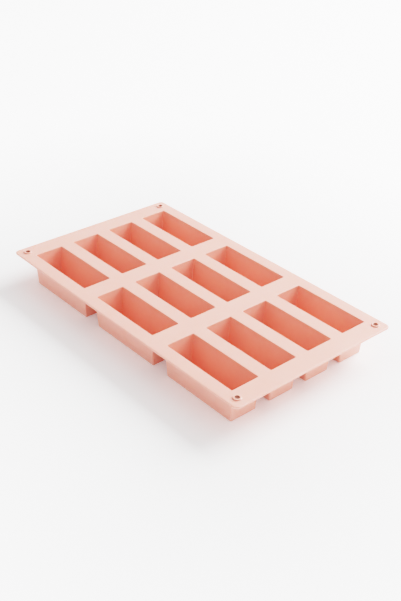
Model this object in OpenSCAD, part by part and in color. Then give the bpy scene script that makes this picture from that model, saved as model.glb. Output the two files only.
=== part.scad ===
// Twelve-bar soap mould: a soft silicone tray, moulded in one piece. A flat deck carries three
// rows of four drafted cups, and a raised ring stands round the hole in each of its corners.
// X runs along the tray, Y across it and Z up. The origin is under the tray's middle, on the
// plane that the cups stand on. The moulding is divided where its shape changes: the deck, each
// cup below it and each ring above it are separate solids that meet face to face.

/* [Deck] */
// Length of the tray
tray_len = 300; // [250:1:360]
// Width of the tray
tray_wid = 175; // [145:1:210]
// Thickness of the flat deck
deck_t = 2; // [1.4:0.1:3]
// Corner radius of the deck, seen from above
deck_corner_r = 4; // [2:0.5:14]
// Rounding of the deck's outer edge, above and below
deck_edge_r = 0.6; // [0.2:0.1:0.7]

/* [Layout of the cups] */
// Rows of cups along the tray
row_count = 3; // [2:1:4]
// Cups in each row, across the tray
col_count = 4; // [2:1:5]
// Deck between the tray's end and the nearest cavity
end_margin = 18.25; // [14:0.25:24]
// Deck between the tray's long side and the nearest cavity
side_margin = 12.25; // [10:0.25:16]
// Deck between one row of cavities and the next
row_web = 18.5; // [10:0.5:24]
// Deck between neighbouring cavities in a row
col_web = 13.5; // [9:0.5:16]

/* [Cups] */
// Depth of a cavity, from the top of the deck to its floor
bar_depth = 29; // [20:0.5:36]
// Draft of a cup's two end walls, in degrees
end_draft = 2; // [1:0.5:5]
// Draft of a cup's two long walls, in degrees
side_draft = 4; // [1:0.5:5]
// Thickness of the cup walls, measured level
wall_t = 1.5; // [1:0.1:2]
// Thickness of the cup floor
floor_t = 1.5; // [1:0.1:2.5]
// Rounding between a cavity's floor and its walls
floor_round_r = 1.2; // [0.4:0.1:2]
// Rounding along the outside of a cup's foot
foot_round_r = 1; // [0.4:0.1:2.5]
// Fillet between the outside of a cup and the deck
deck_fillet_r = 1.6; // [0.5:0.1:2.5]
// Rounding of the lip at each cavity's mouth
lip_r = 0.5; // [0.2:0.1:1]

/* [Corner rings] */
// Diameter of the corner holes
hole_d = 4; // [2.5:0.5:6]
// Distance from the tray's edges to a corner hole's centre
hole_inset = 9; // [6:0.5:12]
// Width of the raised ring round a hole
ring_w = 1.5; // [1:0.1:2]
// Height of the raised ring above the deck
ring_h = 1; // [0.6:0.1:2]
// Rounding of the ring's top edges
ring_edge_r = 0.4; // [0.1:0.1:0.5]

/* [Hidden] */
$fn = 96;
silicone = "#EBA892";

// Heights of the deck
tray_h = floor_t + bar_depth;
deck_z = tray_h - deck_t;

// A cavity's mouth is what the margins and webs leave of the tray
function hundredth(size) = round(100 * size) / 100;
bar_len = hundredth((tray_len - 2 * end_margin - (row_count - 1) * row_web) / row_count);
bar_wid = hundredth((tray_wid - 2 * side_margin - (col_count - 1) * col_web) / col_count);
row_pitch = bar_len + row_web;
col_pitch = bar_wid + col_web;

// Where each cup and each ring stands
function cup_at(row, col) = [
    (row - (row_count - 1) / 2) * row_pitch,
    (col - (col_count - 1) / 2) * col_pitch
];
hole_x = tray_len / 2 - hole_inset;
hole_y = tray_wid / 2 - hole_inset;
RINGS = [
    ["corner_ring_left_front", [-hole_x, -hole_y]],
    ["corner_ring_right_front", [hole_x, -hole_y]],
    ["corner_ring_left_back", [-hole_x, hole_y]],
    ["corner_ring_right_back", [hole_x, hole_y]]
];

// Names: rows are lettered along the tray, cups are numbered across it
row_letters = "abcd";
function cup_name(row, col) = str("bar_cup_", row_letters[row], col + 1);

// Section between two drafted walls, from z_low to z_high, where the walls would stand half_top
// from the middle. Each wall leans between a foot rounded inwards by foot_r and a top flared
// outwards by flare_r. Both arcs end upright at the wall.
module drafted_section(z_low, z_high, half_top, draft, foot_r, flare_r) {
    wall_low = z_low + foot_r;
    wall_high = z_high - flare_r;
    half_low = hundredth(half_top - (z_high - wall_low) * tan(draft));
    half_high = hundredth(half_top - flare_r * tan(draft));
    outline = [
        [half_low - foot_r, z_low],
        [half_low - foot_r, wall_low],
        [half_low, wall_low],
        [half_high, wall_high],
        [half_high + flare_r, wall_high],
        [half_high + flare_r, z_high]
    ];
    other_side = [for (i = [len(outline) - 1 : -1 : 0]) [-outline[i][0], outline[i][1]]];
    difference() {
        polygon(concat(outline, other_side));
        for (side = [-1, 1])
            translate([side * (half_high + flare_r), wall_high])
                circle(flare_r);
    }
    for (side = [-1, 1])
        translate([side * (half_low - foot_r), wall_low])
            circle(foot_r);
}

// Four drafted walls: the section along a cup crossed with the section across it. At z_high
// the walls stand half_len and half_wid from the middle.
module drafted_block(z_low, z_high, half_len, half_wid, foot_r, flare_r) {
    intersection() {
        rotate([90, 0, 0])
            linear_extrude(4 * half_wid, center = true)
                drafted_section(z_low, z_high, half_len, end_draft, foot_r, flare_r);
        rotate([90, 0, 90])
            linear_extrude(4 * half_len, center = true)
                drafted_section(z_low, z_high, half_wid, side_draft, foot_r, flare_r);
    }
}

// The space that one bar fills, from the cavity's floor to its rounded lip
module cavity() {
    drafted_block(floor_t, tray_h, bar_len / 2, bar_wid / 2, floor_round_r, lip_r);
}

// The outside of one cup, from its foot to its fillet under the deck
module cup_outside() {
    half_len = bar_len / 2 - deck_t * tan(end_draft) + wall_t;
    half_wid = bar_wid / 2 - deck_t * tan(side_draft) + wall_t;
    drafted_block(0, deck_z, half_len, half_wid, foot_round_r, deck_fillet_r);
}

// Edge outline of the deck, drawn as distance out and height, rounded above and below
module deck_edge() {
    translate([0, deck_z])
        square([deck_corner_r - deck_edge_r, deck_t]);
    translate([0, deck_z + deck_edge_r])
        square([deck_corner_r, deck_t - 2 * deck_edge_r]);
    for (z = [deck_z + deck_edge_r, tray_h - deck_edge_r])
        translate([deck_corner_r - deck_edge_r, z])
            circle(deck_edge_r);
}

// The deck's sheet: its edge outline carried along its sides and round its corners
module deck_sheet() {
    span_x = tray_len / 2 - deck_corner_r;
    span_y = tray_wid / 2 - deck_corner_r;
    rotate([90, 0, 0])
        linear_extrude(2 * span_y, center = true) {
            translate([-span_x, deck_z])
                square([2 * span_x, deck_t]);
            for (side = [0, 1])
                mirror([side, 0])
                    translate([span_x, 0])
                        deck_edge();
        }
    for (side = [0, 1])
        mirror([0, side, 0])
            translate([0, span_y, 0])
                rotate([90, 0, 90])
                    linear_extrude(2 * span_x, center = true)
                        deck_edge();
    for (side_x = [0, 1], side_y = [0, 1])
        mirror([side_x, 0, 0])
            mirror([0, side_y, 0])
                translate([span_x, span_y, 0])
                    rotate_extrude(angle = 90)
                        deck_edge();
}

// Flat sheet that joins the cups, with a mouth over each of them and a hole in each corner
module deck() {
    color(silicone)
        difference() {
            deck_sheet();
            for (row = [0 : row_count - 1], col = [0 : col_count - 1])
                translate(cup_at(row, col))
                    cavity();
            for (ring = RINGS)
                translate(concat(ring[1], deck_z - deck_t))
                    cylinder(d = hole_d, h = 3 * deck_t);
        }
}

// Open cup that one bar is cast in
module bar_cup(row, col) {
    color(silicone)
        translate(cup_at(row, col))
            difference() {
                cup_outside();
                cavity();
            }
}

// Raised ring that keeps a corner hole from tearing
module corner_ring(at) {
    color(silicone)
        translate(concat(at, tray_h))
            rotate_extrude()
                translate([hole_d / 2, 0]) {
                    square([ring_w, ring_h - ring_edge_r]);
                    translate([ring_edge_r, 0])
                        square([ring_w - 2 * ring_edge_r, ring_h]);
                    for (x = [ring_edge_r, ring_w - ring_edge_r])
                        translate([x, ring_h - ring_edge_r])
                            circle(ring_edge_r);
                }
}

deck();
for (row = [0 : row_count - 1], col = [0 : col_count - 1])
    bar_cup(row, col);
for (ring = RINGS)
    corner_ring(ring[1]);
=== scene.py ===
"""Twelve-bar soap mould, a soft silicone tray moulded in one piece, on a white studio table."""

import math

import bmesh
import bpy
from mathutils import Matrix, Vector


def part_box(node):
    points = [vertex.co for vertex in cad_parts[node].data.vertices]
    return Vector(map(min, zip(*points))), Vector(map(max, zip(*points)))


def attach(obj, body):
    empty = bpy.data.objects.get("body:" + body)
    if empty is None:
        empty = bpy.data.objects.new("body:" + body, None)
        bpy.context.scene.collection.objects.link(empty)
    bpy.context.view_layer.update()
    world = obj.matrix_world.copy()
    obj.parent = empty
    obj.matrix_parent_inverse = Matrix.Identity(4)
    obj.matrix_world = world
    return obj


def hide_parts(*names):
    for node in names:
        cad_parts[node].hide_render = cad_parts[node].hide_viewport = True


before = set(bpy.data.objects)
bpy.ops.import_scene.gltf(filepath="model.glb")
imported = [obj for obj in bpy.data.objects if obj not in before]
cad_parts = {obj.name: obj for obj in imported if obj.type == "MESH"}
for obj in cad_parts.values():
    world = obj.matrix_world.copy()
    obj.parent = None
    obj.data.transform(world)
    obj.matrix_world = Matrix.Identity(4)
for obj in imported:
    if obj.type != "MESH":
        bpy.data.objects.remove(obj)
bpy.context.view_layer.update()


# ---- Bar cups ------------------------------------------------------------------------------------
# Twelve open cups that the soap is poured into. They are platinum-cured silicone rubber,
# compression moulded in one shot with the deck between two drafted steel tools. The tool's edges
# are broken by hand, so every corner of the rubber is a little round.

MM = 0.001

# The moulding's plan heights come from the deck, which lies on top of all the cups.
deck_low, deck_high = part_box("deck")
deck_under = round(deck_low.z, 6)
deck_top = round(deck_high.z, 6)

END_DRAFT = math.radians(2)
SIDE_DRAFT = math.radians(4)
WALL = 1.5 * MM
FLOOR = 1.5 * MM
FLOOR_ROUND = 1.2 * MM
FOOT_ROUND = 1 * MM
DECK_FILLET = 1.6 * MM
LIP_ROUND = 0.5 * MM
CAVITY_CORNER = 0.9 * MM
CUP_CORNER = 1.3 * MM
SHARPEST = 0.15 * MM

# Where a section is drawn: steps in each rounding, how far past it the wall's run starts in
# multiples of its radius, and the shares of that run.
ROUNDING_STEPS = 7
WALL_START = 1.2
WALL_SHARES = (0, 0.15, 0.4, 0.7, 1)


def outline(shape, height):
    """Half length, half width and corner radius of a drafted shape at a height, and the height.

    Its walls would reach the high end as far out as tops says. They lean between a foot rounded
    inwards and a flare outwards, whose arcs end upright.
    """
    low, high, tops, foot, flare, corner = shape
    halves = []
    for top, draft in zip(tops, (END_DRAFT, SIDE_DRAFT)):
        leaning = max(low + foot, min(high - flare, height))
        half = top - (high - leaning) * math.tan(draft)
        half -= foot - math.sqrt(foot**2 - max(0, min(foot, low + foot - height)) ** 2)
        half += flare - math.sqrt(flare**2 - max(0, min(flare, height - high + flare)) ** 2)
        halves.append(half)
    turned_in = halves[0] - tops[0] + (high - height) * math.tan(END_DRAFT)
    return (*halves, max(SHARPEST, corner + turned_in), height)


def heights(shape, low, high):
    """Heights at which a shape's outlines are drawn: close together in its roundings."""
    foot_low, flare_high, _, foot, flare, _ = shape
    turns = [1 - math.cos(math.pi / 2 * i / ROUNDING_STEPS) for i in range(ROUNDING_STEPS + 1)]
    wall_low, wall_high = foot_low + WALL_START * foot, flare_high - WALL_START * flare
    drawn = [foot_low + foot * turn for turn in turns]
    drawn += [flare_high - flare * turn for turn in turns]
    drawn += [wall_low + share * (wall_high - wall_low) for share in WALL_SHARES]
    drawn += [low, high]
    return sorted({round(height, 7) for height in drawn if low <= height <= high})


# The plan of a cavity's mouth is worked back from a cup's box, which ends at its fillet.
cup_low, cup_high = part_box("bar_cup_a1")
mouth_halves = tuple(
    (cup_high[i] - cup_low[i]) / 2
    - DECK_FILLET * (1 - math.tan(draft))
    - WALL
    + (deck_top - deck_under) * math.tan(draft)
    for i, draft in enumerate((END_DRAFT, SIDE_DRAFT))
)
outer_halves = tuple(
    half - (deck_top - deck_under) * math.tan(draft) + WALL
    for half, draft in zip(mouth_halves, (END_DRAFT, SIDE_DRAFT))
)
cavity = (FLOOR, deck_top, mouth_halves, FLOOR_ROUND, LIP_ROUND, CAVITY_CORNER)
outside = (0, deck_under, outer_halves, FOOT_ROUND, DECK_FILLET, CUP_CORNER)

# Steps round a corner, and the longest step along a straight run
CORNER_STEPS = 8
RUN_STEP = 3 * MM
SAME_POINT = 0.01 * MM


def draw_outline(bm, centre, place):
    """Draws a closed rectangle with turned corners and returns its edges. It may be a circle."""
    half_x, half_y, corner, height = place
    span_x, span_y = half_x - corner, half_y - corner
    known = set(bm.verts)
    tip = bmesh.ops.create_vert(bm, co=(centre.x + half_x, centre.y - span_y, height))["vert"]
    turns = ((span_x, span_y), (-span_x, span_y), (-span_x, -span_y), (span_x, -span_y))
    for turn, (x, y) in enumerate(turns):
        run = 2 * (span_x if turn % 2 else span_y)
        steps = math.ceil(run / RUN_STEP)
        if steps:
            angle = (turn + 1) * math.pi / 2
            stride = Vector((math.cos(angle), math.sin(angle), 0)) * run / steps
            run_made = bmesh.ops.spin(bm, geom=tip, axis=(0, 0, 1), dvec=stride, steps=steps)
            tip = run_made["geom_last"]
        pivot = (centre.x + x, centre.y + y, height)
        corner_made = bmesh.ops.spin(
            bm, geom=tip, axis=(0, 0, 1), cent=pivot, angle=math.pi / 2, steps=CORNER_STEPS
        )
        tip = corner_made["geom_last"]
    drawn = [v for v in bm.verts if v not in known]
    bmesh.ops.remove_doubles(bm, verts=drawn, dist=SAME_POINT)
    kept = {v for v in drawn if v.is_valid}
    return [edge for edge in bm.edges if edge.verts[0] in kept]


def carry(bm, edges, centre, place, section):
    """Extrudes the outline at a place through a section's places. Returns the last one's edges."""
    for target in section:
        made = bmesh.ops.extrude_edge_only(bm, edges=edges)["geom"]
        for vert in (part for part in made if isinstance(part, bmesh.types.BMVert)):
            for axis in (0, 1):
                span, target_span = place[axis] - place[2], target[axis] - target[2]
                away = vert.co[axis] - centre[axis]
                middle = max(-span, min(span, away))
                turned = (away - middle) / place[2] * target[2]
                straight = middle / span * target_span if span > 0 else 0
                vert.co[axis] = centre[axis] + turned + straight
            vert.co.z = target[3]
        edges = [part for part in made if isinstance(part, bmesh.types.BMEdge) and part.is_boundary]
        place = target
    return edges


RIM_DROOP = 0.25 * MM
DECK_WAVE = 0.12 * MM


def settle(bm):
    """Lets the rubber lie as it would, by parts of a millimetre.

    Its rim droops and its deck waves, unevenly along and across the tray. Nothing moves at the
    foot.
    """
    for vert in bm.verts:
        x, y, z = vert.co
        along, across = x / deck_high.x, y / deck_high.y
        rim = max(abs(along), abs(across)) ** 6
        ripple = math.sin(4.1 * along + 0.7) * math.cos(2.6 * across - 0.4)
        vert.co.z -= (RIM_DROOP * rim + DECK_WAVE * (1 + ripple)) * z / deck_top


SHARP_FROM = math.radians(35)


def finish_piece(bm, name):
    """Turns a closed bmesh into a smooth-shaded object that keeps its sharp edges."""
    settle(bm)
    bmesh.ops.recalc_face_normals(bm, faces=bm.faces)
    for face in bm.faces:
        face.smooth = True
    for edge in bm.edges:
        edge.smooth = edge.calc_face_angle(0) < SHARP_FROM
    mesh = bpy.data.meshes.new(name)
    bm.to_mesh(mesh)
    bm.free()
    piece = bpy.data.objects.new(name, mesh)
    bpy.context.scene.collection.objects.link(piece)
    return piece


def linear(hex_colour):
    """Linear colour of an sRGB hex value."""
    channels = [int(hex_colour[i:i + 2], 16) / 255 for i in (1, 3, 5)]
    return (
        *(c / 12.92 if c <= 0.04045 else ((c + 0.055) / 1.055) ** 2.4 for c in channels),
        1,
    )


def add_node(material, kind, settings=(), links=()):
    """Adds a node to a material. Links give an input's name and the output that feeds it."""
    node = material.node_tree.nodes.new(kind)
    for name, value in dict(settings).items():
        if name in node.inputs:
            node.inputs[name].default_value = value
        else:
            setattr(node, name, value)
    for name, output in dict(links).items():
        material.node_tree.links.new(output, node.inputs[name])
    return node


# A Mix node's colour sockets share their names with its others, so they go by number.
COLOUR_A, COLOUR_B, COLOUR_OUT = 6, 7, 2


def silicone_rubber():
    """Pigmented silicone rubber, moulded against a fine spark-eroded tool.

    It scatters light under its skin, so thin lips glow and deep corners turn coral. The eroded
    grain leaves it matte, with a soft broad sheen.
    """
    material = bpy.data.materials.new("silicone_rubber_coral")
    material.use_nodes = True
    shader = material.node_tree.nodes["Principled BSDF"]
    place = add_node(material, "ShaderNodeTexCoord").outputs["Object"]

    def noise(size, detail, vector=place):
        """Noise whose features are about this size across."""
        settings = {"Scale": 1 / size, "Detail": detail, "Roughness": 0.55}
        return add_node(material, "ShaderNodeTexNoise", settings, {"Vector": vector}).outputs["Fac"]

    # The mill that stirs the pigment in leaves clouds about 30 mm across, mottled by a shade
    # every 4 mm or so.
    stirred = add_node(
        material,
        "ShaderNodeMix",
        {"data_type": "FLOAT", "Factor": 0.45},
        {"A": noise(30 * MM, 3), "B": noise(4 * MM, 3)},
    )
    tint = add_node(
        material,
        "ShaderNodeMix",
        {"data_type": "RGBA"},
        {"Factor": stirred.outputs["Result"]},
    )
    tint.inputs[COLOUR_A].default_value = linear("#F4AC9D")
    tint.inputs[COLOUR_B].default_value = linear("#EA9C8D")

    # Painted shade: the walls of the corner holes are marked, and a darker colour on them stands
    # in for the shade down in the holes.
    painted_hole_shade = add_node(material, "ShaderNodeAttribute", {"attribute_name": "painted_hole_shade"})
    hole_shaded_tint = add_node(
        material,
        "ShaderNodeMix",
        {"data_type": "RGBA"},
        {"Factor": painted_hole_shade.outputs["Fac"]},
    )
    material.node_tree.links.new(tint.outputs[COLOUR_OUT], hole_shaded_tint.inputs[COLOUR_A])
    # The colour of the painted shade on the hole walls
    hole_shaded_tint.inputs[COLOUR_B].default_value = linear("#A87466")

    # The steel was polished the way the rubber is drawn off it, which leaves faint upright lines
    # about 1.5 mm apart. The eroded grain over them is about 0.05 mm. It is drawn at 0.7 mm, the
    # finest that shows.
    drawn_out = add_node(material, "ShaderNodeMapping", {"Scale": (1, 1, 0.04)}, {"Vector": place})
    polish = add_node(
        material,
        "ShaderNodeBump",
        {"Strength": 0.7, "Distance": 0.03 * MM},
        {"Height": noise(1.5 * MM, 2, drawn_out.outputs["Vector"])},
    )
    relief = add_node(
        material,
        "ShaderNodeBump",
        {"Strength": 0.8, "Distance": 0.03 * MM},
        {"Height": noise(0.7 * MM, 2), "Normal": polish.outputs["Normal"]},
    )

    # Hands and release powder leave patches about 12 mm across that shine a little more or less.
    gloss = add_node(
        material,
        "ShaderNodeMapRange",
        {"From Min": 0.3, "From Max": 0.7, "To Min": 0.32, "To Max": 0.42},
        {"Value": noise(12 * MM, 4)},
    )

    for name, value in {
        "IOR": 1.41,
        "Subsurface Weight": 0.3,
        "Subsurface Scale": 1.2 * MM,
        "Subsurface Radius": (1.0, 0.4, 0.25),
        "Sheen Weight": 0.1,
        "Sheen Roughness": 0.4,
    }.items():
        shader.inputs[name].default_value = value
    material.node_tree.links.new(hole_shaded_tint.outputs[COLOUR_OUT], shader.inputs["Base Color"])
    material.node_tree.links.new(gloss.outputs["Result"], shader.inputs["Roughness"])
    material.node_tree.links.new(relief.outputs["Normal"], shader.inputs["Normal"])
    return material


silicone = silicone_rubber()

# Up the inside from the cavity's floor, across the seam and down the outside to the foot
cup_section = [outline(cavity, height) for height in heights(cavity, FLOOR, deck_under)][1:]
cup_section += [outline(outside, height) for height in reversed(heights(outside, 0, deck_under))]


def make_cup(node):
    """One cup, where the frame has it."""
    low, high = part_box(node)
    centre = Vector(((low.x + high.x) / 2, (low.y + high.y) / 2, 0))
    start = outline(cavity, FLOOR)
    bm = bmesh.new()
    floor_edges = draw_outline(bm, centre, start)
    foot_edges = carry(bm, floor_edges, centre, start, cup_section)
    for edges in (floor_edges, foot_edges):
        bmesh.ops.triangle_fill(bm, use_beauty=True, edges=edges)
    cup = finish_piece(bm, node.replace("bar_cup", "moulded_cup"))
    cup.data.materials.append(silicone)
    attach(cup, "root")
    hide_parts(node)
    return centre


cup_centres = [make_cup(node) for node in sorted(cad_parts) if node.startswith("bar_cup")]


# ---- Deck ----------------------------------------------------------------------------------------
# A flat 2 mm sheet of the same shot, which joins the twelve cups at their mouths. Its rim is where
# the tool closes, and is trimmed and tumbled round. The mouths' lips are left small, so that a
# bar's top edge comes out crisp.

DECK_CORNER = 4 * MM
DECK_EDGE = 0.6 * MM
HOLE = 2 * MM
RING_OUT = 3.5 * MM

# A flat margin beside each rounding, which keeps its shading off the flat faces
HOLD = 0.4 * MM

# How far the painted shade in the holes reaches, in multiples of the hole's radius
HOLE_SHADE_REACH = 1.05
EDGE_STEPS = 5


def rim(inset, height):
    """Outline of the deck, drawn in from its edge."""
    return (deck_high.x - inset, deck_high.y - inset, DECK_CORNER - inset, height)


def widened(place, reach):
    """The same outline, drawn wider by reach all round."""
    return (*(size + reach for size in place[:3]), place[3])


def circle(radius, height):
    """A round outline."""
    return (radius, radius, radius, height)


def ring_centre(node):
    """Where a corner ring and its hole stand."""
    low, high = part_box(node)
    return Vector(((low.x + high.x) / 2, (low.y + high.y) / 2, 0))


rings = [node for node in sorted(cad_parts) if node.startswith("corner_ring")]
hole_centres = [ring_centre(node) for node in rings]


def paint_hole_shade(piece):
    """Marks a piece's vertices on the walls of the corner holes for painted shade."""
    painted_hole_shade = piece.data.attributes.new("painted_hole_shade", "FLOAT", "POINT")
    for vert, mark in zip(piece.data.vertices, painted_hole_shade.data):
        reach = min((vert.co.xy - centre.xy).length for centre in hole_centres)
        mark.value = float(reach < HOLE_SHADE_REACH * HOLE)


edge_turns = [math.pi / 2 * i / EDGE_STEPS for i in range(EDGE_STEPS + 1)]

bm = bmesh.new()
origin = Vector((0, 0, 0))
start = rim(DECK_EDGE + HOLD, deck_top)
top_edges = draw_outline(bm, origin, start)
rim_section = [
    rim(DECK_EDGE * (1 - math.sin(turn)), deck_top - DECK_EDGE * (1 - math.cos(turn)))
    for turn in edge_turns
]
rim_section += [
    rim(DECK_EDGE * (1 - math.cos(turn)), deck_under + DECK_EDGE * (1 - math.sin(turn)))
    for turn in edge_turns
]
rim_section += [rim(DECK_EDGE + HOLD, deck_under)]
under_edges = carry(bm, top_edges, origin, start, rim_section)

lip_heights = reversed(heights(cavity, deck_under, deck_top))
lip_section = [outline(cavity, height) for height in lip_heights] + [outline(outside, deck_under)]
for centre in cup_centres:
    start = widened(outline(cavity, deck_top), HOLD)
    mouth = draw_outline(bm, centre, start)
    top_edges += mouth
    under_edges += carry(bm, mouth, centre, start, lip_section)
hole_section = [circle(HOLE, deck_top), circle(HOLE, deck_under), circle(RING_OUT, deck_under)]
for centre in hole_centres:
    start = circle(RING_OUT, deck_top)
    hole = draw_outline(bm, centre, start)
    top_edges += hole
    under_edges += carry(bm, hole, centre, start, hole_section)
for edges in (top_edges, under_edges):
    bmesh.ops.triangle_fill(bm, use_beauty=True, edges=edges)
deck = finish_piece(bm, "moulded_deck")
# The deck's hole walls get painted shade.
paint_hole_shade(deck)
deck.data.materials.append(silicone)
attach(deck, "root")
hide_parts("deck")


# ---- Corner rings --------------------------------------------------------------------------------
# A bead of the same rubber stands round the hole in each corner of the deck. It stiffens the hole,
# which a hook or a rack's pin would otherwise tear. It is moulded with the deck.

RING_EDGE = 0.4 * MM
RING_FOOT = 0.3 * MM

for node, centre in zip(rings, hole_centres):
    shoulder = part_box(node)[1].z - RING_EDGE
    ring_section = [
        circle(HOLE + RING_EDGE * (1 - math.cos(turn)), shoulder + RING_EDGE * math.sin(turn))
        for turn in edge_turns
    ]
    ring_section += [
        circle(RING_OUT - RING_EDGE * (1 - math.sin(turn)), shoulder + RING_EDGE * math.cos(turn))
        for turn in edge_turns
    ]
    ring_section += [
        circle(
            RING_OUT + RING_FOOT * (1 - math.cos(turn)),
            deck_top + RING_FOOT * (1 - math.sin(turn)),
        )
        for turn in edge_turns
    ]
    bm = bmesh.new()
    start = circle(HOLE, deck_top)
    inner = draw_outline(bm, centre, start)
    outer = carry(bm, inner, centre, start, ring_section)
    bmesh.ops.bridge_loops(bm, edges=inner + outer)
    ring = finish_piece(bm, node.replace("corner_ring", "moulded_ring"))
    # The ring's hole walls get painted shade.
    paint_hole_shade(ring)
    ring.data.materials.append(silicone)
    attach(ring, "root")
    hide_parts(node)


# ---- Studio table --------------------------------------------------------------------------------
# A table topped with white acrylic, large enough that no view sees its edge near the tray.
# The tray shades its own patch. The sheet is made to glow, a painted light that keeps it white and
# lights the tray from below. The glow is painted dimmer at and under the tray's outline, a painted
# shadow round the tray that fades with distance from the tray's outline.

TABLE_SPAN = 12
GLOW_NEAR, GLOW_FAR = 0.12, 1.7
GLOW_REACH = 0.3


def opal_acrylic():
    """Opal acrylic sheet with a matt face, white, that throws light back up. It glows with painted
    light, dimmed near the tray as a painted shadow.
    """
    material = bpy.data.materials.new("opal_acrylic_matt")
    material.use_nodes = True
    shader = material.node_tree.nodes["Principled BSDF"]
    shader.inputs["Base Color"].default_value = linear("#F9F9F9")
    shader.inputs["Roughness"].default_value = 0.7
    shader.inputs["Emission Color"].default_value = (1, 1, 1, 1)

    # Distance from the tray's outline: how far out a point lies, past half the tray each way
    step = add_node(material, "ShaderNodeTexCoord").outputs["Object"]
    for operation, vector in (
        ("ABSOLUTE", None),
        ("SUBTRACT", (deck_high.x, deck_high.y, 0)),
        ("MAXIMUM", (0, 0, 0)),
    ):
        math_node = add_node(material, "ShaderNodeVectorMath", {"operation": operation})
        material.node_tree.links.new(step, math_node.inputs[0])
        if vector:
            math_node.inputs[1].default_value = vector
        step = math_node.outputs["Vector"]
    distance = add_node(material, "ShaderNodeVectorMath", {"operation": "LENGTH"})
    material.node_tree.links.new(step, distance.inputs[0])
    # Painted shadow: the glow is weakest at the tray's outline and under it, and rises with
    # distance.
    glow = add_node(
        material,
        "ShaderNodeMapRange",
        {"From Min": 0, "From Max": GLOW_REACH, "To Min": GLOW_NEAR, "To Max": GLOW_FAR},
        {"Value": distance.outputs["Value"]},
    )
    material.node_tree.links.new(glow.outputs["Result"], shader.inputs["Emission Strength"])
    return material


bm = bmesh.new()
bmesh.ops.create_grid(bm, x_segments=1, y_segments=1, size=TABLE_SPAN / 2)
table_mesh = bpy.data.meshes.new("studio_table")
bm.to_mesh(table_mesh)
bm.free()
table = bpy.data.objects.new("studio_table", table_mesh)
bpy.context.scene.collection.objects.link(table)
table.data.materials.append(opal_acrylic())


# ---- Lights --------------------------------------------------------------------------------------
# A pale room fills every side and a large softbox stands behind the tray. It skims the deck, which
# gives the rubber its pale bloom, and leaves the cavities' far walls in their own coral glow. A
# weak one on the right lifts the end walls.

ROOM_STRENGTH = 0.7

world = bpy.data.worlds.new("pale_room")
world.use_nodes = True
world.node_tree.nodes["Background"].inputs["Color"].default_value = (1, 1, 1, 1)
world.node_tree.nodes["Background"].inputs["Strength"].default_value = ROOM_STRENGTH
bpy.context.scene.world = world

LIGHT_DISTANCE = 1.9
SOFTBOX_SIZE = 1.2


def softbox(name, direction, power):
    """A square softbox that faces the tray from a direction, with its power in watts."""
    light = bpy.data.lights.new(name, "AREA")
    light.size = SOFTBOX_SIZE
    light.energy = power
    lamp = bpy.data.objects.new(name, light)
    lamp.location = Vector(direction).normalized() * LIGHT_DISTANCE
    lamp.rotation_euler = (-lamp.location).to_track_quat("-Z", "Y").to_euler()
    bpy.context.scene.collection.objects.link(lamp)


softbox("softbox_behind", (0.05, 0.82, 0.57), 82)
softbox("softbox_right", (0.85, 0.15, 0.5), 4)


# ---- Camera --------------------------------------------------------------------------------------
# It stands off the tray's front right corner and looks down on it by about 32 degrees.

SENSOR_HEIGHT, LENS = 36, 56.63
CAMERA_STAND = Vector((0.5307, -0.4730, deck_top + 0.4221))
CAMERA_AIM = Vector((0.0220, -0.0099, deck_top))
CAMERA_ROLL = math.radians(2.07)

camera_data = bpy.data.cameras.new("camera")
camera_data.sensor_fit = "VERTICAL"
camera_data.sensor_height = SENSOR_HEIGHT
camera_data.lens = LENS
camera = bpy.data.objects.new("camera", camera_data)
camera.location = CAMERA_STAND
camera.rotation_euler = (CAMERA_AIM - CAMERA_STAND).to_track_quat("-Z", "Y").to_euler()
camera.rotation_euler.rotate_axis("Z", CAMERA_ROLL)
bpy.context.scene.collection.objects.link(camera)
bpy.context.scene.camera = camera
bpy.context.scene.view_settings.view_transform = "Filmic"
bpy.context.scene.view_settings.look = "Very High Contrast"
